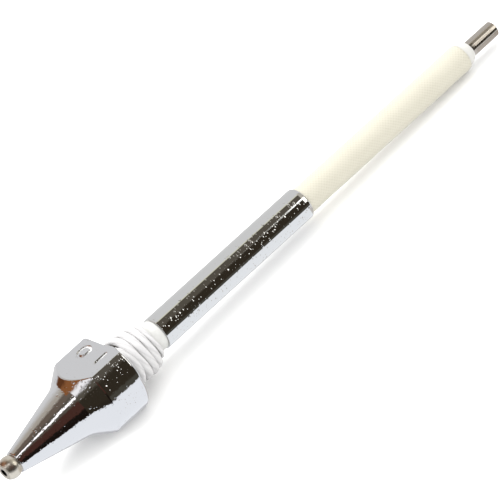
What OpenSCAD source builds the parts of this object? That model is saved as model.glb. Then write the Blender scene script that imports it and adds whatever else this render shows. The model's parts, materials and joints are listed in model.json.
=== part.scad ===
// Heated pen head with a screw-off hollow nozzle, a wound heater in a chromed
// barrel, a woven sleeve over its leads and a stainless flow tube.
// The pen lies along X. The tip's mouth is at the origin, the tail is at +X,
// and the marked spanner flat faces +Z.

/* [Nozzle] */
// Diameter of the hole through the tip
tip_bore_d = 1.0; // [0.6:0.1:1.4]
// Diameter of the round bead at the tip
bead_d = 3.36; // [3.0:0.02:3.6]
// Diameter of the cone behind the bead
cone_front_d = 3.3; // [3.0:0.1:3.5]
// Diameter where the cone meets the shoulder
cone_rear_d = 8.46; // [7.5:0.1:9.5]
// Diameter of the round body
body_d = 12.6; // [11.4:0.1:13.5]
// Distance across the two spanner flats
across_flats = 10.0; // [9.5:0.1:10.6]
// Diameter of the collar behind the body
collar_d = 7.2; // [6.8:0.1:8.0]
// Place of the shoulder's front edge along the pen
shoulder_x = 13.2; // [12.6:0.1:13.8]
// Place of the body's front edge
body_x = 16.2; // [15.6:0.1:16.4]
// Place of the body's rear face
body_end_x = 21.9; // [21.4:0.1:22.4]
// Place of the collar's rear face
collar_end_x = 23.2; // [22.9:0.1:23.2]

/* [Thread] */
// Diameter of the nozzle's socket
socket_d = 6.0; // [5.95:0.01:6.05]
// Pitch of the thread
thread_pitch = 0.75; // [0.5:0.25:1.0]
// Root diameter of the thread on the core
thread_root_d = 5.2; // [5.0:0.05:5.3]
// Crest diameter of the thread on the core
thread_crest_d = 5.88; // [5.7:0.02:5.9]

/* [Barrel] */
// Outer diameter of the heater barrel
barrel_d = 5.06; // [5.0:0.02:5.2]
// Inner diameter of the heater barrel
barrel_bore_d = 4.5; // [4.48:0.01:4.52]
// Place of the barrel's front end
barrel_x = 30.15; // [29.8:0.05:30.4]
// Place of the barrel's rear end
barrel_end_x = 60.0; // [57.5:0.1:62.0]
// Rounding of the barrel's rear edge
barrel_round = 0.25; // [0.1:0.05:0.25]

/* [Sleeve and tail] */
// Outer diameter of the woven sleeve
sleeve_d = 4.36; // [4.3:0.02:4.4]
// Place of the woven sleeve's rear end
sleeve_end_x = 94.6; // [85.0:0.1:96.0]
// Length of the tapered end bush behind the sleeve
taper_len = 1.6; // [1.2:0.1:2.4]
// Outer diameter of the flow tube
tube_d = 2.5; // [2.46:0.01:2.52]
// Inner diameter of the flow tube
tube_bore_d = 1.9; // [1.6:0.1:2.0]
// Place of the flow tube's rear end
tube_end_x = 101.7; // [99.0:0.1:110.0]

/* [Cord winding] */
// Diameter of the glass-fibre cord round the neck
cord_d = 1.1; // [1.0:0.02:1.12]
// Number of turns of the cord
cord_turns = 3.6; // [2.5:0.1:3.6]
// Drop of the cord's centre line from the first turn to the last
cord_drop = 0.5; // [0.4:0.05:0.6]

/* [Heater winding] */
// Diameter of the resistance wire
wire_d = 0.2; // [0.14:0.02:0.2]
// Number of whole turns of the resistance wire
wire_turns = 26; // [12:1:30]

/* [Hidden] */
$fn = 96;

overcut = 1;                                  // how far a cutting tool runs past a face
seat_gap = 0.03;                              // gap on each side of the sealing washer
part_gap = 0.05;                              // gap between nozzle and core faces

// Tip
bead_centre_x = 1.2;
bead_back_x = 2.13;
shank_d = 2.0;
shank_end_x = 8.0;
chamber_d = 2.8;
washer_x = 16.5;                              // floor of the nozzle's socket
edge_chamfer = 0.15;
mark_depth = 0.2;
mark_line = 0.36;                             // width of a punched line
mark_length = 2.4;
mark_x = 19.7;
ring_mark_y = 1.5;
ring_mark_w = 1.9;
bar_mark_y = -2.06;

// Core
washer_end_x = 17.0;
washer_d = 5.8;
core_x = washer_end_x + seat_gap;
thread_x = 17.6;
thread_turns = 4.5;
thread_end_x = 21.4;
pilot_d = 5.8;
neck_x = collar_end_x + part_gap;
neck_front_d = 5.7;
neck_rear_d = 4.6;
neck_end_x = 27.75;
spigot_d = 3.0;
spigot_end_x = 51.0;
core_bore_d = tube_d + 0.04;

// Cord winding
cord_x = neck_x + cord_d / 2;
cord_end_x = 27.9;
cord_r = neck_front_d / 2 + cord_d / 2 + 0.05;
cord_steps = 24;                              // rings in one turn
cord_sides = 8;

// Heater
bush_face_d = 4.66;
bush_shank_end_x = 31.0;
mica_thick = 0.06;
mica_washer_t = 0.3;
mica_washer_d = 4.1;
winding_end_x = 50.2;
mica_d = spigot_d + 2 * mica_thick;
coil_x = 31.6;
coil_end_x = 49.8;
coil_r = mica_d / 2 + wire_d / 2 + 0.05;       // the chords of the coil stay clear of the mica
coil_steps = 16;
coil_sides = 6;
return_r = coil_r + wire_d + 0.01;
coil_tail_x = 52.3;
insulator_bore_d = 4.12;
insulator_d = 4.44;

// Leads, set where the pen's underside hides their contacts
live_angle = 15;
return_angle = -90;
ferrule_x = 51.4;
ferrule_len = 2.2;
ferrule_r = 1.62;                             // from the pen's axis to the ferrule's axis
ferrule_d = 0.66;
ferrule_bore_d = 0.42;
lead_r = 1.58;
lead_d = 0.3;
lead_x = 52.6;
lead_sleeve_d = 0.48;
lead_sleeve_x = 53.8;
rear_bush_x = 54.0;
sleeve_x = 56.0;
sleeve_bore_d = 3.96;
liner_bore_d = 3.68;
shank_x = sleeve_end_x - 2.1;                 // front of the end bush inside the sleeve
taper_front_d = 4.2;
taper_rear_d = 2.9;
contact_d = 0.4;
contact_end_x = sleeve_end_x + 0.4;
lead_gap = 0.2;
tube_x = 12.0;
tube_edge = 0.1;
tube_inner_part_d = tube_d - 0.04;             // the tube is a little thinner inside the pen
tube_swell_len = 0.8;                          // cone from the thinner part to the full tube

function unit(v) = v / norm(v);

// A point at distance r from the pen's axis, turned by angle from +Y towards +Z.
function polar(x, r, angle) = [x, r * cos(angle), r * sin(angle)];

// Direction of a path at point i, and the outward direction square to it.
function path_dir(path, i) =
    unit(path[min(i + 1, len(path) - 1)] - path[max(i - 1, 0)]);
function side_dir(path, i) =
    let (t = path_dir(path, i), n = unit([0, path[i].y, path[i].z]))
    unit(n - (n * t) * t);

// One ring of points round a path.
function wire_ring(path, i, r, sides) =
    let (t = path_dir(path, i), n = side_dir(path, i), b = cross(t, n))
    [for (k = [0 : sides - 1]) path[i] + r * (cos(360 * k / sides) * n + sin(360 * k / sides) * b)];

// Triangles of the strip between two neighbouring rings at side k.
function strip(i, k, sides) =
    let (a = i * sides + k, b = i * sides + (k + 1) % sides)
    [[a, a + sides, b + sides], [a, b + sides, b]];

// Closed skin over a list of rings that all have the same number of points.
module skin(rings) {
    sides = len(rings[0]);
    last = len(rings) - 1;
    walls = [for (i = [0 : last - 1], k = [0 : sides - 1]) each strip(i, k, sides)];
    front = [for (k = [0 : sides - 1]) k];
    back = [for (k = [sides - 1 : -1 : 0]) last * sides + k];
    polyhedron(points = [for (ring = rings) each ring], faces = concat([front, back], walls));
}

module wire(path, d, sides) {
    skin([for (i = [0 : len(path) - 1]) wire_ring(path, i, d / 2, sides)]);
}

// Cylinder, ring and cone along the pen from x0 to x1.
module rod(x0, x1, d, d_end = undef) {
    translate([x0, 0, 0])
        rotate([0, 90, 0])
            cylinder(h = x1 - x0, d1 = d, d2 = is_undef(d_end) ? d : d_end);
}

module ring(x0, x1, d, bore) {
    difference() {
        rod(x0, x1, d);
        rod(x0 - overcut, x1 + overcut, bore);
    }
}

// Rod beside the pen's axis, at distance r and the given angle.
module side_rod(x0, x1, r, angle, d) {
    translate([0, r * cos(angle), r * sin(angle)])
        rod(x0, x1, d);
}

// Turned solid from a list of [radius, place along the pen].
module turned(outline) {
    rotate([0, 90, 0])
        rotate_extrude()
            polygon(outline);
}

// Slot outline with round ends, lying along the pen.
module slot_outline(length, width) {
    square([length - width, width], center = true);
    for (s = [-1, 1])
        translate([s * (length - width) / 2, 0])
            circle(d = width, $fn = 32);
}

module tip_bead() {
    color("#b9b4a6")
        difference() {
            union() {
                intersection() {
                    translate([bead_centre_x, 0, 0])
                        sphere(d = bead_d);
                    rod(0, bead_back_x, bead_d + overcut);
                }
                rod(bead_back_x, shank_end_x, shank_d);
            }
            rod(-overcut, shank_end_x + overcut, tip_bore_d);
        }
}

module nozzle_outside() {
    turned([
        [0, bead_back_x],
        [cone_front_d / 2, bead_back_x],
        [cone_rear_d / 2, shoulder_x],
        [body_d / 2, body_x],
        [body_d / 2, body_end_x - edge_chamfer],
        [body_d / 2 - edge_chamfer, body_end_x],
        [collar_d / 2, body_end_x],
        [collar_d / 2, collar_end_x - edge_chamfer],
        [collar_d / 2 - edge_chamfer, collar_end_x],
        [0, collar_end_x]
    ]);
}

module spanner_flats() {
    for (s = [-1, 1])
        translate([shoulder_x - overcut, -body_d, s * (across_flats / 2 + body_d) - body_d])
            cube([body_end_x - shoulder_x + 2 * overcut, 2 * body_d, 2 * body_d]);
}

module size_marks() {
    translate([mark_x, 0, across_flats / 2 - mark_depth])
        linear_extrude(mark_depth + overcut) {
            translate([0, ring_mark_y])
                difference() {
                    slot_outline(mark_length, ring_mark_w);
                    slot_outline(mark_length - 2 * mark_line, ring_mark_w - 2 * mark_line);
                }
            translate([0, bar_mark_y])
                slot_outline(mark_length, mark_line);
        }
}

module nozzle_shell() {
    color("#d9dbe0")
        difference() {
            nozzle_outside();
            spanner_flats();
            size_marks();
            rod(bead_back_x - overcut, shank_end_x + overcut, shank_d);
            rod(shank_end_x, washer_x + overcut, chamber_d);
            rod(washer_x, collar_end_x + overcut, socket_d);
        }
}

module sealing_washer() {
    color("#b87333")
        ring(washer_x + seat_gap, washer_end_x, washer_d, chamber_d);
}

// Thread ridge wound on the core: a helix of trapezium sections.
module thread_ridge() {
    foot = thread_root_d / 2 - 0.05;
    crest = thread_crest_d / 2;
    half_foot = 0.42 * thread_pitch;
    half_crest = 0.08 * thread_pitch;
    steps = 24;
    skin([
        for (i = [0 : thread_turns * steps])
            let (a = 360 * i / steps, x = thread_x + thread_pitch * i / steps)
            [
                polar(x - half_crest, crest, a),
                polar(x - half_foot, foot, a),
                polar(x + half_foot, foot, a),
                polar(x + half_crest, crest, a)
            ]
    ]);
}

module heat_core() {
    color("#b5a26a")
        difference() {
            union() {
                rod(core_x, thread_end_x, thread_root_d);
                thread_ridge();
                rod(thread_end_x, neck_x, pilot_d);
                rod(neck_x, neck_end_x, neck_front_d, neck_rear_d);
                rod(neck_end_x, spigot_end_x, spigot_d);
            }
            rod(core_x - overcut, spigot_end_x + overcut, core_bore_d);
        }
}

module wrap_cord() {
    steps = floor(cord_turns * cord_steps);
    path = [
        for (i = [0 : steps])
            let (f = i / steps)
            polar(cord_x + f * (cord_end_x - cord_x), cord_r - f * cord_drop, 360 * i / cord_steps)
    ];
    color("#f2f2ef")
        wire(path, cord_d, cord_sides);
}

module front_bush() {
    color("#f4f3ee")
        difference() {
            union() {
                rod(neck_end_x, barrel_x, bush_face_d);
                rod(barrel_x, bush_shank_end_x, barrel_bore_d);
            }
            rod(neck_end_x - overcut, bush_shank_end_x + overcut, spigot_d);
        }
}

module mica_wrap() {
    color("#c9b98c")
        ring(bush_shank_end_x + mica_washer_t, winding_end_x, mica_d, spigot_d);
}

module mica_washer_front() {
    color("#c9b98c")
        ring(bush_shank_end_x, bush_shank_end_x + mica_washer_t, mica_washer_d, spigot_d);
}

module mica_washer_rear() {
    x0 = winding_end_x - overcut;
    x1 = winding_end_x + mica_washer_t + overcut;
    color("#c9b98c")
        difference() {
            ring(winding_end_x, winding_end_x + mica_washer_t, mica_washer_d, spigot_d);
            side_rod(x0, x1, coil_r, live_angle, wire_d + 0.04);
            side_rod(x0, x1, return_r, return_angle, wire_d + 0.04);
        }
}

module heater_coil() {
    sweep = 360 * wire_turns + live_angle - return_angle;
    steps = ceil(sweep / 360 * coil_steps);
    winding = [
        for (i = [0 : steps])
            let (f = i / steps)
            polar(coil_x + f * (coil_end_x - coil_x), coil_r, return_angle + f * sweep)
    ];
    color("#8d8579")
        wire(concat(winding, [polar(coil_end_x + 0.4, coil_r, live_angle), polar(coil_tail_x, coil_r, live_angle)]),
            wire_d, coil_sides);
}

module coil_return() {
    inner_r = ferrule_r + 0.04;
    color("#a8a49c")
        wire([
            polar(coil_x, return_r, return_angle),
            polar(winding_end_x + 0.5, return_r, return_angle),
            polar(ferrule_x - 0.1, inner_r, return_angle),
            polar(coil_tail_x, inner_r, return_angle)
        ], wire_d, coil_sides);
}

module outer_insulator() {
    color("#e9e4d6")
        ring(bush_shank_end_x, spigot_end_x, insulator_d, insulator_bore_d);
}

module barrel() {
    arc_steps = 6;
    color("#d4d6da")
        turned([
            [barrel_bore_d / 2, barrel_x],
            [barrel_d / 2 - edge_chamfer / 2, barrel_x],
            [barrel_d / 2, barrel_x + edge_chamfer / 2],
            for (i = [0 : arc_steps])
                let (a = 90 * i / arc_steps)
                [
                    barrel_d / 2 - barrel_round * (1 - cos(a)),
                    barrel_end_x - barrel_round * (1 - sin(a))
                ],
            [barrel_bore_d / 2, barrel_end_x]
        ]);
}

module rear_bush() {
    color("#f4f3ee")
        difference() {
            rod(rear_bush_x, sleeve_x, barrel_bore_d);
            rod(rear_bush_x - overcut, sleeve_x + overcut, tube_d);
            for (angle = [live_angle, return_angle])
                side_rod(rear_bush_x - overcut, sleeve_x + overcut, lead_r, angle, lead_sleeve_d);
        }
}

module flow_tube() {
    color("#a9a6a0")
        turned([
            [tube_bore_d / 2, tube_x],
            [tube_inner_part_d / 2, tube_x],
            [tube_inner_part_d / 2, sleeve_end_x + taper_len - tube_swell_len],
            [tube_d / 2, sleeve_end_x + taper_len],
            [tube_d / 2, tube_end_x - tube_edge],
            [tube_d / 2 - tube_edge, tube_end_x],
            [tube_bore_d / 2, tube_end_x]
        ]);
}

module ferrule(angle) {
    color("#b9bcc0")
        translate([0, ferrule_r * cos(angle), ferrule_r * sin(angle)])
            ring(ferrule_x, ferrule_x + ferrule_len, ferrule_d, ferrule_bore_d);
}

module ferrule_live() {
    ferrule(live_angle);
}

module ferrule_return() {
    ferrule(return_angle);
}

module lead(angle) {
    color("#c3bfb4")
        side_rod(lead_x, shank_x, lead_r, angle, lead_d);
}

module lead_live() {
    lead(live_angle);
}

module lead_return() {
    lead(return_angle);
}

module lead_sleeve(angle) {
    color("#efe9d8")
        translate([0, lead_r * cos(angle), lead_r * sin(angle)])
            ring(lead_sleeve_x, shank_x - lead_gap, lead_sleeve_d, lead_d);
}

module lead_sleeve_live() {
    lead_sleeve(live_angle);
}

module lead_sleeve_return() {
    lead_sleeve(return_angle);
}

module sleeve_liner() {
    color("#ece6d2")
        ring(sleeve_x, shank_x, sleeve_bore_d, liner_bore_d);
}

module glass_sleeve() {
    color("#f6f0d8")
        ring(sleeve_x, sleeve_end_x, sleeve_d, sleeve_bore_d);
}

module end_bush() {
    end_x = sleeve_end_x + taper_len;
    color("#f7f6f2")
        difference() {
            union() {
                rod(shank_x, sleeve_end_x, sleeve_bore_d);
                rod(sleeve_end_x, end_x, taper_front_d, taper_rear_d);
            }
            rod(shank_x - overcut, end_x + overcut, tube_d);
            for (angle = [live_angle, return_angle])
                side_rod(shank_x - overcut, end_x + overcut, lead_r, angle, contact_d);
        }
}

module contact(angle) {
    color("#b59a52")
        side_rod(shank_x, contact_end_x, lead_r, angle, contact_d);
}

module contact_live() {
    contact(live_angle);
}

module contact_return() {
    contact(return_angle);
}

tip_bead();
nozzle_shell();
sealing_washer();
heat_core();
wrap_cord();
front_bush();
mica_wrap();
mica_washer_front();
mica_washer_rear();
heater_coil();
coil_return();
outer_insulator();
barrel();
rear_bush();
flow_tube();
ferrule_live();
ferrule_return();
lead_live();
lead_return();
lead_sleeve_live();
lead_sleeve_return();
sleeve_liner();
glass_sleeve();
end_bush();
contact_live();
contact_return();
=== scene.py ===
import json
import math

import bpy
import numpy as np
from mathutils import Matrix, Vector


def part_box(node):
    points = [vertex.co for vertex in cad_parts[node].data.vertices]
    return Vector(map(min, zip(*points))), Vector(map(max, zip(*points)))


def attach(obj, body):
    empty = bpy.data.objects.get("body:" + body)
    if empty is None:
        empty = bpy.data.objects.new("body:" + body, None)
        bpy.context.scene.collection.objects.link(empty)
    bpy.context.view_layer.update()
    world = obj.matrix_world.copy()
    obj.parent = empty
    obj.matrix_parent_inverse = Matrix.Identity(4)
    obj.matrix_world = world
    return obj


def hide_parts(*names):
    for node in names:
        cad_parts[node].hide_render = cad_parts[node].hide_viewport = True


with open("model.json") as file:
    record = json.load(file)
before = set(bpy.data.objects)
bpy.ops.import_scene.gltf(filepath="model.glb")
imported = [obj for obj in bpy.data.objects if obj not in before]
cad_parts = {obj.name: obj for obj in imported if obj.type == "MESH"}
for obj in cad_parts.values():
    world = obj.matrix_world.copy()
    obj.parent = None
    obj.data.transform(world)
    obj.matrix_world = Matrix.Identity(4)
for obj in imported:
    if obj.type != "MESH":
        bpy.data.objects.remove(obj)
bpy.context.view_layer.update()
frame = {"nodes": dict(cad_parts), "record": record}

MM = 0.001                                    # metres in a millimetre; the sizes below are in millimetres
NODES = frame["nodes"]


def span(node):
    """Where a CAD node starts and ends along the pen, its half width and its half height."""
    low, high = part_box(node)
    return low.x / MM, high.x / MM, high.y / MM, high.z / MM


# ---------------------------------------------------------------- sizes

nozzle_x0, nozzle_x1, body_r, flat_height = span("nozzle_shell")
bead_x0, bead_x1, _, bead_r = span("tip_bead")
barrel_x0, barrel_x1, barrel_r, _ = span("barrel")
bush_x0, bush_x1, bush_r, _ = span("front_bush")
sleeve_x0, sleeve_x1, sleeve_r, _ = span("glass_sleeve")
tail_bush_x1 = span("end_bush")[1]
tube_x0, tube_x1, tube_r, _ = span("flow_tube")

# Nozzle: places along the pen and radii that its box doesn't give
TIP_BORE_R = 0.5
SHANK_R = 1.0
CONE_FRONT_R = 1.65
SHOULDER_X, SHOULDER_R = 13.2, 4.23
BODY_X, BODY_END_X = 16.2, 21.9
COLLAR_R = 3.6
SOCKET_X, SOCKET_R = 16.5, 3.0
CHAMBER_X, CHAMBER_R = 8.0, 1.4
BEAD_CENTRE_X = 1.2
OUTER_X, OUTER_R = [nozzle_x0, SHOULDER_X, BODY_X, nozzle_x1], [CONE_FRONT_R, SHOULDER_R, body_r, COLLAR_R]
FLAT_EDGE = 0.16                              # how far the flats' edges are broken by polishing
MARK_X, MARK_LENGTH, MARK_LINE, MARK_DEPTH = 19.7, 2.4, 0.36, 0.2
RING_MARK_Y, RING_MARK_WIDTH = 1.5, 1.9
BAR_MARK_Y = -2.06

# Barrel, bushes, sleeve and tube
BARREL_BORE_R = 2.25
BARREL_MOUTH_R = 2.2
SPIGOT_R = 1.5
SLEEVE_BORE_R = 1.98
TUBE_BORE_R = 0.95
TUBE_INSIDE_R = 1.23

# Cord round the neck. Its turns are counted from where it first crosses the viewed side; for each
# count: the place along the pen, the distance from the axis and the cord's own radius
CORD_TURNS = [-0.12, 0.0, 0.75, 1.0, 1.75, 2.0, 2.25, 2.75, 3.0, 3.25, 3.9, 4.3]
CORD_X = [23.3, 23.35, 23.9, 24.3, 25.15, 25.48, 25.75, 26.4, 26.72, 26.95, 27.78, 27.9]
CORD_REACH = [3.3, 3.45, 3.45, 3.48, 3.46, 3.42, 3.4, 3.26, 3.2, 3.16, 2.95, 2.7]
CORD_R = [0.4, 0.58, 0.6, 0.62, 0.64, 0.57, 0.64, 0.63, 0.52, 0.62, 0.44, 0.25]
CORD_BOW = 0.45                               # the loops lie further back above and below
CORD_STRANDS, CORD_TWISTS = 3, 7              # strands in the cord, and their twists in one turn

# Direction, square to the pen, of the side that faces the camera, and its angle about the pen
VIEWED_Y, VIEWED_Z = -0.794, 0.607
VIEWED_ANGLE = math.atan2(VIEWED_Z, VIEWED_Y)


# ---------------------------------------------------------------- mesh work


def mesh_from_grid(name, points, close_rows=True):
    """Mesh over a grid of points [row, column, xyz] in millimetres.

    Columns go round and always close. Rows close too where the outline is a loop. The quads are
    turned outwards by the sign of their volume. The UV map is (column, row), each from 0 to 1.
    """
    rows, columns = points.shape[:2]
    row_quads = rows if close_rows else rows - 1
    i, j = np.meshgrid(np.arange(row_quads), np.arange(columns), indexing="ij")
    i2, j2 = (i + 1) % rows, (j + 1) % columns
    quads = np.stack([i * columns + j, i * columns + j2, i2 * columns + j2, i2 * columns + j], -1)
    quads = quads.reshape(-1, 4)
    u = np.stack([j, j + 1, j + 1, j], -1).reshape(-1, 4) / columns
    v = np.stack([i, i, i + 1, i + 1], -1).reshape(-1, 4) / row_quads
    flat = points.reshape(-1, 3)
    corner = flat[quads]
    volume = np.einsum("ij,ij->i", corner[:, 0], np.cross(corner[:, 1], corner[:, 2]))
    volume += np.einsum("ij,ij->i", corner[:, 0], np.cross(corner[:, 2], corner[:, 3]))
    if volume.sum() < 0:
        quads, u, v = quads[:, ::-1], u[:, ::-1], v[:, ::-1]
    mesh = bpy.data.meshes.new(name)
    mesh.vertices.add(len(flat))
    mesh.vertices.foreach_set("co", (flat * MM).ravel())
    mesh.loops.add(quads.size)
    mesh.loops.foreach_set("vertex_index", quads.ravel())
    mesh.polygons.add(len(quads))
    mesh.polygons.foreach_set("loop_start", np.arange(0, quads.size, 4))
    mesh.polygons.foreach_set("use_smooth", np.ones(len(quads), bool))
    mesh.update(calc_edges=True)
    uv = mesh.uv_layers.new(name="surface")
    uv.data.foreach_set("uv", np.stack([u.ravel(), v.ravel()], -1).ravel())
    mesh.validate()
    return mesh


def paint(mesh, name, values):
    """Stores one number per vertex as an attribute that a material reads."""
    layer = mesh.attributes.new(name, "FLOAT", "POINT")
    layer.data.foreach_set("value", values.ravel().astype(np.float32))


def outline(corners, arc_steps=5):
    """Dense closed outline from corners (place, radius, rounding, pieces of the run after it).

    Each corner is a parabola from a point one rounding before it to one rounding after it, and
    each straight run between two corners is cut into equal pieces.
    """
    count = len(corners)
    xy = np.array([c[:2] for c in corners], float)
    made = []
    for k, (_, _, rounding, _) in enumerate(corners):
        here, before, after = xy[k], xy[k - 1], xy[(k + 1) % count]
        start = here + (before - here) / np.linalg.norm(before - here) * rounding
        end = here + (after - here) / np.linalg.norm(after - here) * rounding
        t = np.linspace(0, 1, arc_steps)[:, None]
        made.append((1 - t) ** 2 * start + 2 * t * (1 - t) * here + t ** 2 * end)
    rows = []
    for k, arc in enumerate(made):
        rows.append(arc)
        t = np.linspace(0, 1, corners[k][3] + 1)[1:-1, None]
        rows.append(arc[-1] * (1 - t) + made[(k + 1) % count][0] * t)
    return np.concatenate(rows)


def turn(profile, columns):
    """Surface of revolution about the pen: the profile's radius swung through a full circle."""
    angle = np.linspace(0, 2 * np.pi, columns, endpoint=False)
    x = np.repeat(profile[:, :1], columns, 1)
    return np.stack([x, profile[:, 1:] * np.cos(angle), profile[:, 1:] * np.sin(angle)], -1)


def piece(name, mesh, body, node, slot):
    """Makes the object for a finished mesh, which rides on its body in place of its CAD node."""
    mesh.materials.append(FINISHES[slot])
    made = bpy.data.objects.new(name, mesh)
    bpy.context.scene.collection.objects.link(made)
    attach(made, body)
    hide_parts(node)


# ---------------------------------------------------------------- materials


def linear(code):
    """sRGB hex colour as a linear colour with alpha 1."""
    parts = [int(code[k:k + 2], 16) / 255 for k in (1, 3, 5)]
    return [c / 12.92 if c <= 0.04045 else ((c + 0.055) / 1.055) ** 2.4 for c in parts] + [1.0]


def per_mm(size):
    """Scale of a pattern whose cells are this many millimetres, for coordinates in metres."""
    return 1 / (size * MM)


def add(tree, kind, settings=None, links=None):
    """Adds a node, sets its inputs or properties, and links sockets to its inputs."""
    node = tree.nodes.new(kind)
    for key, value in (settings or {}).items():
        if isinstance(key, int) or key in node.inputs:
            node.inputs[key].default_value = value
        else:
            setattr(node, key, value)
    for key, socket in (links or {}).items():
        tree.links.new(socket, node.inputs[key])
    return node


def surface(name, **inputs):
    """New material with its Principled shader's inputs set. Returns material, tree and shader."""
    made = bpy.data.materials.new(name)
    made.use_nodes = True
    tree = made.node_tree
    shader = tree.nodes["Principled BSDF"]
    for key, value in inputs.items():
        shader.inputs[key.replace("_", " ")].default_value = value
    return made, tree, shader


def blend_colours(tree, low, high, factor):
    """Colour that goes from low to high as the factor goes from 0 to 1."""
    mix = add(tree, "ShaderNodeMix", {"data_type": "RGBA", 6: linear(low), 7: linear(high)}, {0: factor})
    return mix.outputs[2]


def bump(tree, shader, height, strength, distance):
    """Bump on the shader from a height socket; distance is its depth in millimetres."""
    settings = {"Strength": strength, "Distance": distance * MM}
    node = add(tree, "ShaderNodeBump", settings, {"Height": height})
    tree.links.new(node.outputs["Normal"], shader.inputs["Normal"])


# painted shade: near black laid inside the chamber, the socket and the tip's hole
BORE_SHADE = "#14110F"


def nodules(tree, place, spacing, radius, share):
    """Low round domes, one in each cell of the spacing but only in the given share of the cells.
    With t rising from 0 at a dome's rim to 1 at its centre, its height is t times (2 - t)."""
    cells = add(tree, "ShaderNodeTexVoronoi", {"Scale": per_mm(spacing)}, {"Vector": place})
    rise = add(tree, "ShaderNodeMapRange", {
        "From Min": radius / spacing, "From Max": 0.0,
    }, {"Value": cells.outputs["Distance"]}).outputs[0]
    slack = add(tree, "ShaderNodeMath", {"operation": "SUBTRACT", 0: 2.0}, {1: rise}).outputs[0]
    dome = add(tree, "ShaderNodeMath", {"operation": "MULTIPLY"}, {0: rise, 1: slack}).outputs[0]
    draw = add(tree, "ShaderNodeSeparateColor", links={"Color": cells.outputs["Color"]})
    some = add(tree, "ShaderNodeMath", {"operation": "LESS_THAN", 1: share}, {0: draw.outputs[0]})
    chosen = add(tree, "ShaderNodeMath", {"operation": "MULTIPLY"}, {0: dome, 1: some.outputs[0]})
    return chosen.outputs[0]


def chrome_plate(name, hue, share, relief, peel, wave):
    """Bright chromium plated over nickel and machine polished: a near mirror with scattered nodules
    where the plating grew over dust. Punched marks carry a painted highlight, matt white and whiter
    towards the tail, and the chamber and the socket carry painted shade, near black. Relief is the
    large nodules' height in millimetres, and the small nodules, the orange peel and the broad waves
    are shares of it."""
    made, tree, shader = surface(name, Metallic=1.0, Roughness=0.06)
    place = add(tree, "ShaderNodeTexCoord").outputs["Object"]
    large = nodules(tree, place, 0.8, 0.2, share)
    small = nodules(tree, place, 0.4, 0.12, share)
    fine = add(tree, "ShaderNodeTexNoise", {"Scale": per_mm(0.5), "Detail": 2.0}, {"Vector": place})
    broad = add(tree, "ShaderNodeTexNoise", {"Scale": per_mm(2.2), "Detail": 1.0}, {"Vector": place})
    height = large
    for pattern, part in ((small, 0.5), (fine.outputs[0], peel), (broad.outputs[0], wave)):
        layer = add(tree, "ShaderNodeMath", {"operation": "MULTIPLY_ADD", 1: part}, {0: pattern, 2: height})
        height = layer.outputs[0]
    bump(tree, shader, height, 1.0, relief)
    haze = add(tree, "ShaderNodeTexNoise", {"Scale": per_mm(4.0), "Detail": 4.0}, {"Vector": place})
    rough = add(tree, "ShaderNodeMapRange", {"To Min": 0.015, "To Max": 0.07}, {"Value": haze.outputs[0]})
    # painted highlight: matt white in the punched marks
    painted_highlight = add(tree, "ShaderNodeAttribute", {"attribute_name": "painted_highlight"}).outputs["Fac"]
    # painted shade: near black and matt inside the chamber and the socket
    bore_shade = add(tree, "ShaderNodeAttribute", {"attribute_name": "bore_shade"}).outputs["Fac"]
    tint = blend_colours(tree, hue, "#F2F2F0", painted_highlight)
    dark = add(tree, "ShaderNodeMix", {"data_type": "RGBA", 7: linear(BORE_SHADE)}, {0: bore_shade, 6: tint})
    tree.links.new(dark.outputs[2], shader.inputs["Base Color"])
    matt = add(tree, "ShaderNodeMath", {"operation": "MAXIMUM"}, {0: painted_highlight, 1: bore_shade}).outputs[0]
    worn = add(tree, "ShaderNodeMix", {3: 0.8}, {0: matt, 2: rough.outputs[0]}).outputs[0]
    tree.links.new(worn, shader.inputs["Roughness"])
    bare = add(tree, "ShaderNodeMath", {"operation": "SUBTRACT", 0: 1.0}, {1: matt}).outputs[0]
    tree.links.new(bare, shader.inputs["Metallic"])
    return made


def satin_nickel():
    """Nickel plate left satin by heat: warm grey, soft reflections, faint straw temper tint, and painted
    shade, near black, inside the tip's hole.
    """
    made, tree, shader = surface("nickel_plate_satin", Metallic=1.0, Roughness=0.3)
    place = add(tree, "ShaderNodeTexCoord").outputs["Object"]
    cloud = add(tree, "ShaderNodeTexNoise", {"Scale": per_mm(0.9), "Detail": 5.0}, {"Vector": place})
    tint = blend_colours(tree, "#C9C2B6", "#EDE7DB", cloud.outputs[0])
    # painted shade: near black inside the tip's hole
    bore_shade = add(tree, "ShaderNodeAttribute", {"attribute_name": "bore_shade"}).outputs["Fac"]
    dark = add(tree, "ShaderNodeMix", {"data_type": "RGBA", 7: linear(BORE_SHADE)}, {0: bore_shade, 6: tint})
    tree.links.new(dark.outputs[2], shader.inputs["Base Color"])
    rough = add(tree, "ShaderNodeMapRange", {"To Min": 0.2, "To Max": 0.42}, {"Value": cloud.outputs[0]})
    tree.links.new(rough.outputs[0], shader.inputs["Roughness"])
    grain = add(tree, "ShaderNodeTexNoise", {"Scale": per_mm(0.12), "Detail": 2.0}, {"Vector": place})
    bump(tree, shader, grain.outputs[0], 0.5, 0.012)
    return made


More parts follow.
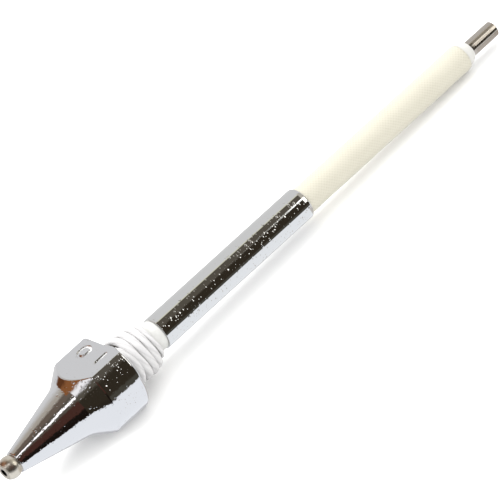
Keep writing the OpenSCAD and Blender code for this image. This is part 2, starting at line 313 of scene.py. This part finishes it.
def drawn_metal(name, dark, light, roughness, line=0.08):
    """Metal drawn through a die: hairlines run along the pen and soften the reflections."""
    made, tree, shader = surface(name, Metallic=1.0, Roughness=roughness)
    place = add(tree, "ShaderNodeTexCoord").outputs["Object"]
    along = add(tree, "ShaderNodeMapping", {"Scale": (0.02, 1.0, 1.0)}, {"Vector": place}).outputs[0]
    hair = add(tree, "ShaderNodeTexNoise", {"Scale": per_mm(line), "Detail": 3.0}, {"Vector": along})
    tree.links.new(blend_colours(tree, dark, light, hair.outputs[0]), shader.inputs["Base Color"])
    spread = {"To Min": roughness * 0.7, "To Max": roughness * 1.4}
    rough = add(tree, "ShaderNodeMapRange", spread, {"Value": hair.outputs[0]})
    tree.links.new(rough.outputs[0], shader.inputs["Roughness"])
    bump(tree, shader, hair.outputs[0], 0.4, 0.006)
    return made


WAVE_RADIANS = 20                             # a wave texture of scale 1 turns this far in a unit
TOOL_RING = 0.14                              # one radian of the tool rings, so a ring every 0.88


def turned_metal(name, dark, light, roughness):
    """Metal turned on a lathe. Its tool rings are drawn coarser than real ones, so that they show."""
    made, tree, shader = surface(name, Metallic=1.0, Roughness=roughness)
    place = add(tree, "ShaderNodeTexCoord").outputs["Object"]
    rings = add(tree, "ShaderNodeTexWave", {
        "Scale": per_mm(TOOL_RING) / WAVE_RADIANS, "Distortion": 0.6, "Detail": 2.0,
    }, {"Vector": place})
    tree.links.new(blend_colours(tree, dark, light, rings.outputs[1]), shader.inputs["Base Color"])
    bump(tree, shader, rings.outputs[1], 0.4, 0.008)
    return made


def glass_yarn(name, shade, light, roughness, fibre_turns):
    """Yarn of glass filaments: matt with a silky edge. The yarn's own crown, stored on the mesh
    as relief, lightens its top and darkens the gaps as painted shade, and fine lines are its filaments."""
    made, tree, shader = surface(name, Roughness=roughness, Sheen_Weight=0.25, Sheen_Roughness=0.4)
    relief = add(tree, "ShaderNodeAttribute", {"attribute_name": "relief"})
    place = add(tree, "ShaderNodeTexCoord").outputs["Object"]
    cloud = add(tree, "ShaderNodeTexNoise", {"Scale": per_mm(2.5), "Detail": 4.0}, {"Vector": place})
    # painted shade: the gaps between strands are darker and the crowns lighter, with a random tone over it
    lift = add(tree, "ShaderNodeMath", {
        "operation": "MULTIPLY_ADD", 1: 0.25,
    }, {0: cloud.outputs[0], 2: relief.outputs["Fac"]})
    tree.links.new(blend_colours(tree, shade, light, lift.outputs[0]), shader.inputs["Base Color"])
    strand = add(tree, "ShaderNodeAttribute", {"attribute_name": "strand"})
    lines = add(tree, "ShaderNodeMath", {
        "operation": "MULTIPLY", 1: fibre_turns * 2 * math.pi,
    }, {0: strand.outputs["Fac"]})
    waves = add(tree, "ShaderNodeMath", {"operation": "SINE"}, {0: lines.outputs[0]})
    bump(tree, shader, waves.outputs[0], 0.35, 0.012)
    return made


def fired_ceramic(name, low, high, roughness, pore):
    """Unglazed fired ceramic or varnished sleeving: chalky, with cloudy tone and small pores."""
    made, tree, shader = surface(name, Roughness=roughness, IOR=1.6)
    place = add(tree, "ShaderNodeTexCoord").outputs["Object"]
    cloud = add(tree, "ShaderNodeTexNoise", {"Scale": per_mm(pore * 6), "Detail": 5.0}, {"Vector": place})
    tree.links.new(blend_colours(tree, low, high, cloud.outputs[0]), shader.inputs["Base Color"])
    grain = add(tree, "ShaderNodeTexNoise", {"Scale": per_mm(pore), "Detail": 3.0}, {"Vector": place})
    bump(tree, shader, grain.outputs[0], 0.5, pore * 0.2)
    return made


def mica_sheet():
    """Mica split into leaves: amber and glossy, with flaky layers."""
    made, tree, shader = surface("mica_sheet", Roughness=0.25, IOR=1.58, Coat_Weight=0.4)
    place = add(tree, "ShaderNodeTexCoord").outputs["Object"]
    flakes = add(tree, "ShaderNodeTexVoronoi", {"Scale": per_mm(0.8)}, {"Vector": place})
    tint = blend_colours(tree, "#8A7440", "#D9C894", flakes.outputs["Distance"])
    tree.links.new(tint, shader.inputs["Base Color"])
    bump(tree, shader, flakes.outputs["Distance"], 0.3, 0.02)
    return made


FINISHES = {
    "nozzle_chrome": chrome_plate("chrome_plate_nozzle", "#DCDDE0", 0.42, 0.024, peel=0.7, wave=1.6),
    "barrel_chrome": chrome_plate("chrome_plate_barrel", "#DBDCDD", 0.48, 0.021, peel=0.0, wave=0.02),
    "tip_nickel": satin_nickel(),
    "stainless_tube": drawn_metal("stainless_tube_drawn", "#A8A199", "#D2CCC4", 0.16),
    "resistance_wire": drawn_metal("nichrome_wire_drawn", "#5E564D", "#8F877C", 0.35),
    "nickel_wire": drawn_metal("nickel_wire_drawn", "#A39D90", "#C9C3B6", 0.25),
    "core_brass": turned_metal("brass_turned", "#B8995A", "#D9BE7C", 0.25),
    "contact_brass": turned_metal("contact_brass_turned", "#B8954A", "#DDBD6C", 0.22),
    "copper": turned_metal("copper_washer_annealed", "#B0623F", "#D98B63", 0.32),
    # for each yarn the first colour is the painted shade of its gaps and the second its crowns
    "woven_sleeve": glass_yarn("glass_fibre_braid_cream", "#A09B87", "#C0BCAD", 0.42, 3.0),
    "glass_cord": glass_yarn("glass_fibre_cord_white", "#807E7E", "#C6C5C5", 0.72, 4.0),
    "lead_sleeving": fired_ceramic("glass_fibre_sleeving_varnished", "#D9D0B4", "#F1EAD4", 0.6, 0.15),
    "white_ceramic": fired_ceramic("steatite_white", "#BBBBB8", "#CBCBC8", 0.55, 0.12),
    "cream_ceramic": fired_ceramic("alumina_cream", "#DDD5C2", "#EFE9DA", 0.5, 0.12),
    "sleeve_end": fired_ceramic("ceramic_cement_white", "#BAB9B4", "#CCCBC7", 0.7, 0.2),
    "mica": mica_sheet(),
}

for subpart in frame["record"]["subparts"]:
    slots = NODES[subpart["node"]].data.materials
    slots.clear()
    slots.append(FINISHES[subpart["material_slot"]])


# ---------------------------------------------------------------- nozzle and tip


def soft_min(a, b, width):
    """Smaller of two values, blended over the width, so that an edge comes out rounded."""
    share = np.clip(0.5 + 0.5 * (b - a) / width, 0, 1)
    return b * (1 - share) + a * share - width * share * (1 - share)


def slot_distance(x, y, length, width):
    """Signed distance from a slot with round ends that lies along the pen."""
    past_end = np.maximum(np.abs(x) - (length - width) / 2, 0)
    return np.hypot(past_end, y) - width / 2


def groove(distance):
    """Depth of a punched line at a distance from its edge: full inside, a small lip outside."""
    inside = np.clip(0.5 - distance / 0.12, 0, 1)
    return MARK_DEPTH * inside * inside * (3 - 2 * inside) - 0.03 * np.exp(-(((distance - 0.1) / 0.09) ** 2))


def profile_inside(profile):
    """1 for the rows that line the chamber and the socket, 0 for all the others."""
    x, r = profile.T
    under_the_skin = r < np.interp(x, OUTER_X, OUTER_R) - 0.5
    return ((r < SOCKET_R + 0.2) & (x > CHAMBER_X - 0.1) & under_the_skin).astype(float)


def make_nozzle():
    """Turned outline with two flats. Height is limited to the flats' height, which leaves a
    plane where the round body would stand higher. The marks lower the upper flat."""
    profile = outline([
        (nozzle_x0, SHANK_R, 0.03, 2),
        (nozzle_x0, CONE_FRONT_R, 0.14, 10),
        (SHOULDER_X, SHOULDER_R, 0.6, 36),
        (BODY_X, body_r, 0.14, 56),
        (BODY_END_X, body_r, 0.26, 8),
        (BODY_END_X, COLLAR_R, 0.08, 3),
        (nozzle_x1, COLLAR_R, 0.16, 2),
        (nozzle_x1, SOCKET_R, 0.1, 3),
        (SOCKET_X, SOCKET_R, 0.05, 2),
        (SOCKET_X, CHAMBER_R, 0.05, 2),
        (CHAMBER_X, CHAMBER_R, 0.03, 1),
        (CHAMBER_X, SHANK_R, 0.02, 2),
    ])
    columns = 480
    points = turn(profile, columns)
    x, y, z = points[..., 0], points[..., 1], points[..., 2]
    height = soft_min(np.abs(z), flat_height, FLAT_EDGE)
    ring = slot_distance(x - MARK_X, y - RING_MARK_Y, MARK_LENGTH, RING_MARK_WIDTH)
    bar = slot_distance(x - MARK_X, y - BAR_MARK_Y, MARK_LENGTH, MARK_LINE)
    ring_line = np.abs(ring + MARK_LINE / 2) - MARK_LINE / 2
    cut = np.maximum(groove(ring_line), groove(bar)) + np.minimum(groove(ring_line), groove(bar))
    on_flat = np.clip((z - flat_height + 0.2) / 0.2, 0, 1)
    # painted highlight: the marks are made matt white, more so towards the tail, in place of glints on their
    # walls
    painted_highlight = np.clip((cut - 0.07) / 0.1, 0, 1) * on_flat * np.clip(0.45 + (x - MARK_X) * 0.5, 0, 0.7)
    # painted shade inside the chamber and the socket, near black
    bore_shade = np.clip((SOCKET_R + 0.3 - np.hypot(y, z)) / 0.1, 0, 1) * (x > CHAMBER_X)
    points[..., 2] = np.sign(z) * (height - cut * on_flat)
    made = mesh_from_grid("nozzle", points)
    paint(made, "painted_highlight", painted_highlight)
    paint(made, "bore_shade", bore_shade * (profile_inside(profile)[:, None] * np.ones(columns)))
    return made


def make_bead():
    """Ball with a flat front face and the tip's hole, on a shank that sits in the nozzle."""
    front = math.sqrt(bead_r ** 2 - BEAD_CENTRE_X ** 2)
    back = math.acos((nozzle_x0 - BEAD_CENTRE_X) / bead_r)
    angle = np.linspace(math.atan2(front, -BEAD_CENTRE_X), back, 26)
    ball = np.stack([BEAD_CENTRE_X + bead_r * np.cos(angle), bead_r * np.sin(angle)], -1)
    rest = outline([
        (nozzle_x0, ball[-1, 1], 0.02, 3),
        (nozzle_x0, SHANK_R, 0.02, 2),
        (bead_x1, SHANK_R, 0.02, 2),
        (bead_x1, TIP_BORE_R, 0.02, 4),
        (bead_x0, TIP_BORE_R, 0.1, 3),
        (bead_x0, front, 0.06, 1),
    ])
    points = turn(np.concatenate([ball[1:-1], rest]), 128)
    made = mesh_from_grid("bead", points)
    distance = np.hypot(points[..., 1], points[..., 2])
    # painted shade, near black, inside the tip's hole
    paint(made, "bore_shade", np.clip((TIP_BORE_R + 0.14 - distance) / 0.1, 0, 1))
    return made


piece("nozzle_chromed", make_nozzle(), "nozzle", "nozzle_shell", "nozzle_chrome")
piece("tip_bead_nickel", make_bead(), "nozzle", "tip_bead", "tip_nickel")


# ---------------------------------------------------------------- neck


def make_cord():
    """Cord of twisted strands along a helix. Its place, its distance from the pen and its thickness
    are smoothed between the crossings and wander a little, and it thins out at its ends. Where it
    passes over the collar it is lifted clear of it. The strands' crowns are the half waves of the
    twist."""
    rings, sides = 1100, 48
    turns = np.linspace(CORD_TURNS[0], CORD_TURNS[-1], rings)

    def smooth(values):
        """Values at the crossings joined by straight lines and then averaged over a third of a turn."""
        reach_each_side = 39
        window = np.hanning(2 * reach_each_side + 1)
        padded = np.pad(np.interp(turns, CORD_TURNS, values), reach_each_side, mode="edge")
        return np.convolve(padded, window / window.sum(), mode="valid")

    wander = 0.07 * np.sin(turns * 9.1 + 1.0) + 0.04 * np.sin(turns * 17.3)
    angle = VIEWED_ANGLE + 2 * np.pi * turns
    bow = CORD_BOW * np.sin(2 * np.pi * turns) ** 2 * np.clip((turns - 0.8) * 4, 0, 1)
    x = smooth(CORD_X) + wander + bow
    reach = smooth(CORD_REACH) + 0.04 * np.sin(turns * 13.7 + 0.4)
    thick = smooth(CORD_R) * (1 + 0.03 * np.sin(turns * 23.0))
    fade = np.sqrt(np.clip(1 - np.abs(np.linspace(-1, 1, rings)) ** 60, 0, 1))
    across = np.linspace(0, 2 * np.pi, sides, endpoint=False)
    twist = across[None, :] * CORD_STRANDS - turns[:, None] * 2 * np.pi * CORD_TWISTS
    relief = 0.6 + 0.4 * np.abs(np.cos(twist / 2))
    strand = (twist / (2 * np.pi)) % 1
    radius = thick[:, None] * (0.8 + 0.2 * relief) * fade[:, None]
    outward = reach[:, None] + radius * np.cos(across) * 0.92
    along = x[:, None] + radius * np.sin(across) * 1.04
    over_collar = np.clip((nozzle_x1 + 0.15 - along) / 0.15, 0, 1)
    outward += over_collar * np.maximum(COLLAR_R + 0.03 + 0.2 * radius - outward, 0)
    points = np.stack([along, outward * np.cos(angle)[:, None], outward * np.sin(angle)[:, None]], -1)
    made = mesh_from_grid("cord", points, close_rows=False)
    # relief shapes the strands and also paints shade into the gaps between them
    paint(made, "relief", relief)
    paint(made, "strand", strand)
    return made


def make_front_bush():
    """Ceramic bush: a wide face ring ahead of the barrel and a shank inside it."""
    profile = outline([
        (bush_x0, SPIGOT_R, 0.05, 2),
        (bush_x0, bush_r, 0.2, 8),
        (barrel_x0, bush_r, 0.12, 2),
        (barrel_x0, BARREL_BORE_R, 0.02, 2),
        (bush_x1, BARREL_BORE_R, 0.1, 2),
        (bush_x1, SPIGOT_R, 0.05, 2),
    ])
    return mesh_from_grid("front_bush", turn(profile, 160))


piece("cord_winding", make_cord(), "heater", "wrap_cord", "glass_cord")
piece("front_bush_white", make_front_bush(), "heater", "front_bush", "white_ceramic")


# ---------------------------------------------------------------- barrel, sleeve and tail


def make_barrel():
    """Thin tube whose rear edge is rolled in over the sleeve."""
    profile = outline([
        (barrel_x0, BARREL_BORE_R, 0.03, 2),
        (barrel_x0, barrel_r, 0.05, 40),
        (barrel_x1, barrel_r, 0.33, 1),
        (barrel_x1, BARREL_MOUTH_R, 0.02, 1),
        (barrel_x1 - 0.6, BARREL_MOUTH_R, 0.1, 1),
        (barrel_x1 - 0.8, BARREL_BORE_R, 0.1, 4),
    ], arc_steps=7)
    return mesh_from_grid("barrel", turn(profile, 160))


def braid_height(around, along, yarns, radius):
    """Height of a plain two-way braid, from -0.55 up to 1 on a crown, and the place across its yarn.

    Two families of yarns climb the tube at 45 degrees in opposite senses. Each yarn is a round
    crown, and each family goes over and under the other as half waves of the other's phase.
    """
    climb = along / radius
    phases = [yarns * (around + climb), yarns * (around - climb)]
    crowns, places = [], []
    for mine, other, sign in ((phases[0], phases[1], 1), (phases[1], phases[0], -1)):
        number = np.round(mine / (2 * np.pi))
        place = mine / (2 * np.pi) - number
        weave = sign * np.where(number % 2 == 0, 1, -1) * np.cos(other / 2)
        crowns.append(0.55 * weave + 0.45 * np.sqrt(np.clip(1 - (2.05 * place) ** 2, 0, 1)))
        places.append(place)
    top = crowns[0] >= crowns[1]
    return np.where(top, crowns[0], crowns[1]), np.where(top, places[0], places[1])


def make_sleeve():
    """Braided tube: the outer wall carries the braid as real relief and bulges slightly."""
    rows, columns, yarns, relief_depth = 402, 144, 24, 0.07
    x = np.linspace(sleeve_x0, sleeve_x1, rows)
    around = np.linspace(0, 2 * np.pi, columns, endpoint=False)
    grid_x, grid_a = np.meshgrid(x, around, indexing="ij")
    height, place = braid_height(grid_a, grid_x, yarns, sleeve_r)
    inside_barrel = np.clip((barrel_x1 + 0.6 - grid_x) / 0.6, 0, 1)
    swell = 0.02 * np.sin(grid_x * 0.9) * np.sin(grid_a + grid_x * 0.21)
    outer = sleeve_r - relief_depth / 2 + (relief_depth / 2 * height + swell) * (1 - 0.8 * inside_barrel)
    outer -= 0.1 * np.clip((grid_x - sleeve_x1 + 0.5) / 0.5, 0, 1) ** 2
    wall = np.stack([grid_x, outer * np.cos(around), outer * np.sin(around)], -1)
    bore = turn(np.array([[sleeve_x1, SLEEVE_BORE_R], [sleeve_x0, SLEEVE_BORE_R]]), columns)
    made = mesh_from_grid("sleeve", np.concatenate([wall, bore]))
    plain = np.zeros((2, columns))
    # relief also paints shade into the braid's gaps
    paint(made, "relief", np.concatenate([(height + 0.55) / 1.55, plain + 0.5]))
    paint(made, "strand", np.concatenate([place, plain]))
    return made


def make_tail_tube():
    """Stainless tube, cut square and deburred, a little thinner where it runs inside the pen."""
    profile = outline([
        (tube_x0, TUBE_BORE_R, 0.03, 2),
        (tube_x0, TUBE_INSIDE_R, 0.03, 4),
        (tail_bush_x1, TUBE_INSIDE_R, 0.005, 1),
        (tail_bush_x1, tube_r, 0.005, 6),
        (tube_x1, tube_r, 0.12, 2),
        (tube_x1, TUBE_BORE_R, 0.06, 4),
    ])
    return mesh_from_grid("tail_tube", turn(profile, 128))


piece("barrel_chromed", make_barrel(), "heater", "barrel", "barrel_chrome")
piece("sleeve_braided", make_sleeve(), "heater", "glass_sleeve", "woven_sleeve")
piece("tail_tube_drawn", make_tail_tube(), "heater", "flow_tube", "stainless_tube")


# ---------------------------------------------------------------- camera, floor and light

LEAN = math.radians(24.5)                     # how far the pen leans out of the picture plane
SCREEN_SLOPE = math.radians(42.3)             # slope of the pen in the picture
VIEW_DISTANCE = 555
PICTURE_WIDTH = 70                            # width seen at the aim point
AIM_X, AIM_ASIDE = 49.2, 0.09                 # aim point: along the pen, and past it on the lower side

across_view = Vector((0, VIEWED_Y, VIEWED_Z)).normalized()
pen_axis = Vector((1, 0, 0))
to_camera = across_view * math.cos(LEAN) - pen_axis * math.sin(LEAN)
pen_on_screen = (pen_axis + to_camera * math.sin(LEAN)).normalized()
side_on_screen = to_camera.cross(pen_on_screen)
right = pen_on_screen * math.cos(SCREEN_SLOPE) - side_on_screen * math.sin(SCREEN_SLOPE)
up = pen_on_screen * math.sin(SCREEN_SLOPE) + side_on_screen * math.cos(SCREEN_SLOPE)
aim = (pen_axis * AIM_X - side_on_screen * AIM_ASIDE) * MM
camera_data = bpy.data.cameras.new("camera")
camera_data.sensor_width = 36
camera_data.lens = 36 * VIEW_DISTANCE / PICTURE_WIDTH
camera_data.clip_start = 0.01
camera = bpy.data.objects.new("camera", camera_data)
facing = Matrix((right, up, to_camera)).transposed().to_4x4()
camera.matrix_world = Matrix.Translation(aim + to_camera * VIEW_DISTANCE * MM) @ facing
bpy.context.scene.collection.objects.link(camera)
bpy.context.scene.camera = camera


FLOOR_REACH = 900                             # from the aim point to each edge
FLOOR_GLOW = 0.07                             # the paper lies on a faint light table
SLEEVE_CLEARANCE = 0.35                       # how far it passes under the sleeve's rear end


def make_floor():
    """Flat plane that touches the lower flat's rear edge and rises to just under the sleeve's end."""
    slope = (flat_height - sleeve_r - SLEEVE_CLEARANCE) / (sleeve_x1 - BODY_END_X)
    points = []
    for along, aside in ((-1, -1), (1, -1), (1, 1), (-1, 1)):
        x = along * FLOOR_REACH + AIM_X
        points.append((x * MM, aside * FLOOR_REACH * MM, (-flat_height + (x - BODY_END_X) * slope) * MM))
    mesh = bpy.data.meshes.new("floor")
    mesh.from_pydata(points, [], [(0, 1, 2, 3)])
    made, tree, shader = surface("white_paper_floor", Base_Color=linear("#ECECEB"), Roughness=0.9)
    shader.inputs["Specular IOR Level"].default_value = 0.1
    shader.inputs["Emission Color"].default_value = (1, 1, 1, 1)
    shader.inputs["Emission Strength"].default_value = FLOOR_GLOW
    place = add(tree, "ShaderNodeTexCoord").outputs["Object"]
    fibres = add(tree, "ShaderNodeTexNoise", {"Scale": per_mm(0.5), "Detail": 3.0}, {"Vector": place})
    bump(tree, shader, fibres.outputs[0], 0.1, 0.02)
    mesh.materials.append(made)
    floor = bpy.data.objects.new("floor", mesh)
    bpy.context.scene.collection.objects.link(floor)
    floor.visible_glossy = False              # polished metal mirrors the light tent instead


# The light tent as polished metal sees it. Each card has a range of turn about the pen, in degrees
# from the viewed side and upwards, a range along the pen, as the sine of the angle towards the
# tail, the softness of its edges in degrees, and its light. A later card covers an earlier one.
SOFT_BASE, SOFT_BEHIND = 1.55, 0.45           # light on matt surfaces all round, and more from behind
TENT_BELOW = (1.05, 1.07, 1.10)               # light from every side that no card covers
SOFT_ALONG = 200                              # softness in degrees over this is softness along the pen
CARDS = [
    ("upper wall", (52, 181), (-1.1, 1.1), 1.5, (0.80, 0.795, 0.79)),
    ("upper wall ahead", (52, 104), (-0.5, 0.2), 22, (0.50, 0.45, 0.38)),
    ("upper wall seam", (50, 59), (0.2, 1.1), 2, (0.88, 0.86, 0.68)),
    ("room in front", (-52, 52), (-1.1, 1.1), 1.2, (0.036, 0.028, 0.018)),
    ("room floor", (-52, -38), (0.3, 1.1), 3, (0.075, 0.07, 0.055)),
    ("room wall", (10, 52), (-1.1, 1.1), 6, (0.115, 0.10, 0.078)),
    ("brown haze", (44, 71), (-0.5, 0.2), 6, (0.17, 0.13, 0.10)),
    ("red wood", (-28, 12), (-0.5, 0.2), 5, (0.075, 0.03, 0.022)),
    ("black wood", (-52, -24), (-0.5, 0.2), 4, (0.012, 0.008, 0.006)),
    ("ceiling lamp", (25, 33), (-0.5, 0.15), 2.5, (2.1, 2.0, 2.0)),
    ("ceiling lamp on the shoulder", (33, 56), (-0.85, -0.5), 8, (1.15, 1.12, 1.12)),
    ("low shelf ahead", (-61, -45), (-1.1, -0.5), 1.2, (0.03, 0.024, 0.016)),
    ("low shelf", (-54, -45), (-0.5, 0.2), 1.2, (0.012, 0.008, 0.006)),
    ("window", (9, 18), (0.4275, 0.8), 0.6, (2.6, 2.6, 2.5)),
    ("wall behind the tail", (14, 64), (0.468, 0.8), 1.2, (0.60, 0.56, 0.49)),
    ("ground behind the tail", (-181, -60), (0.468, 0.8), 1.2, (0.66, 0.62, 0.58)),
    ("window behind the tail", (-20, 19), (0.468, 0.8), 1.2, (2.0, 1.95, 1.8)),
    ("door", (57, 128), (-0.75, -0.14), 6, (0.31, 0.12, 0.042)),
    ("door frame", (98, 130), (-0.75, -0.14), 8, (0.14, 0.05, 0.018)),
    ("shade under the pen", (-181, -150), (-1.1, 1.1), 6, (0.58, 0.58, 0.6)),
]


def make_world():
    """Soft white all round for the matt surfaces, and the light tent for polished metal."""
    world = bpy.data.worlds.new("light_tent")
    world.use_nodes = True
    tree = world.node_tree
    tree.nodes.clear()
    direction = add(tree, "ShaderNodeTexCoord").outputs["Generated"]

    def part(vector):
        """How far the direction points along a vector."""
        product = add(tree, "ShaderNodeVectorMath", {"operation": "DOT_PRODUCT", 1: vector}, {0: direction})
        return product.outputs["Value"]

    behind = Vector((0, VIEWED_Z, -VIEWED_Y)).normalized()
    turned = add(tree, "ShaderNodeMath", {"operation": "ARCTAN2"}, {0: part(behind), 1: part(across_view)})
    degrees = add(tree, "ShaderNodeMath", {"operation": "DEGREES"}, {0: turned.outputs[0]})
    tailward = part(pen_axis)
    colour = add(tree, "ShaderNodeRGB").outputs[0]
    colour.default_value = (*TENT_BELOW, 1)
    for name, (low, high), (near, far), soft, light in CARDS:
        share = None
        for value, edge, blur, before, after in (
            (degrees.outputs[0], low, soft, 0.0, 1.0),
            (degrees.outputs[0], high, soft, 1.0, 0.0),
            (tailward, near, soft / SOFT_ALONG, 0.0, 1.0),
            (tailward, far, soft / SOFT_ALONG, 1.0, 0.0),
        ):
            step = add(tree, "ShaderNodeMapRange", {
                "interpolation_type": "SMOOTHSTEP", "From Min": edge - blur, "From Max": edge + blur,
                "To Min": before, "To Max": after,
            }, {"Value": value}).outputs[0]
            if share is None:
                share = step
            else:
                both = add(tree, "ShaderNodeMath", {"operation": "MULTIPLY"}, {0: share, 1: step})
                share = both.outputs[0]
        settings = {"data_type": "RGBA", "label": name, 7: (*light, 1)}
        colour = add(tree, "ShaderNodeMix", settings, {0: share, 6: colour}).outputs[2]
    ray = add(tree, "ShaderNodeLightPath")
    white = {"data_type": "RGBA", 6: (1, 1, 1, 1)}
    seen = add(tree, "ShaderNodeMix", white, {0: ray.outputs["Is Glossy Ray"], 7: colour})
    soft_white = {"operation": "MULTIPLY_ADD", 1: SOFT_BEHIND, 2: SOFT_BASE}
    soft = add(tree, "ShaderNodeMath", soft_white, {0: part(behind)})
    level = add(tree, "ShaderNodeMix", {2: 1.0}, {0: ray.outputs["Is Diffuse Ray"], 3: soft.outputs[0]})
    back = add(tree, "ShaderNodeBackground", links={"Color": seen.outputs[2], "Strength": level.outputs[0]})
    add(tree, "ShaderNodeOutputWorld", links={"Surface": back.outputs[0]})
    bpy.context.scene.world = world


def make_lamp(name, direction, distance, size, watts):
    """Square soft box that faces the pen."""
    data = bpy.data.lights.new(name, "AREA")
    data.size = size * MM
    data.energy = watts
    lamp = bpy.data.objects.new(name, data)
    toward = Vector(direction).normalized()
    facing = toward.to_track_quat("Z", "Y").to_matrix().to_4x4()
    lamp.matrix_world = Matrix.Translation(aim + toward * distance * MM) @ facing
    lamp.visible_glossy = False
    bpy.context.scene.collection.objects.link(lamp)


make_floor()
make_world()
make_lamp("soft_box", (-0.5, 0.45, 1.0), distance=500, size=300, watts=1.8)
bpy.context.scene.view_settings.view_transform = "Standard"
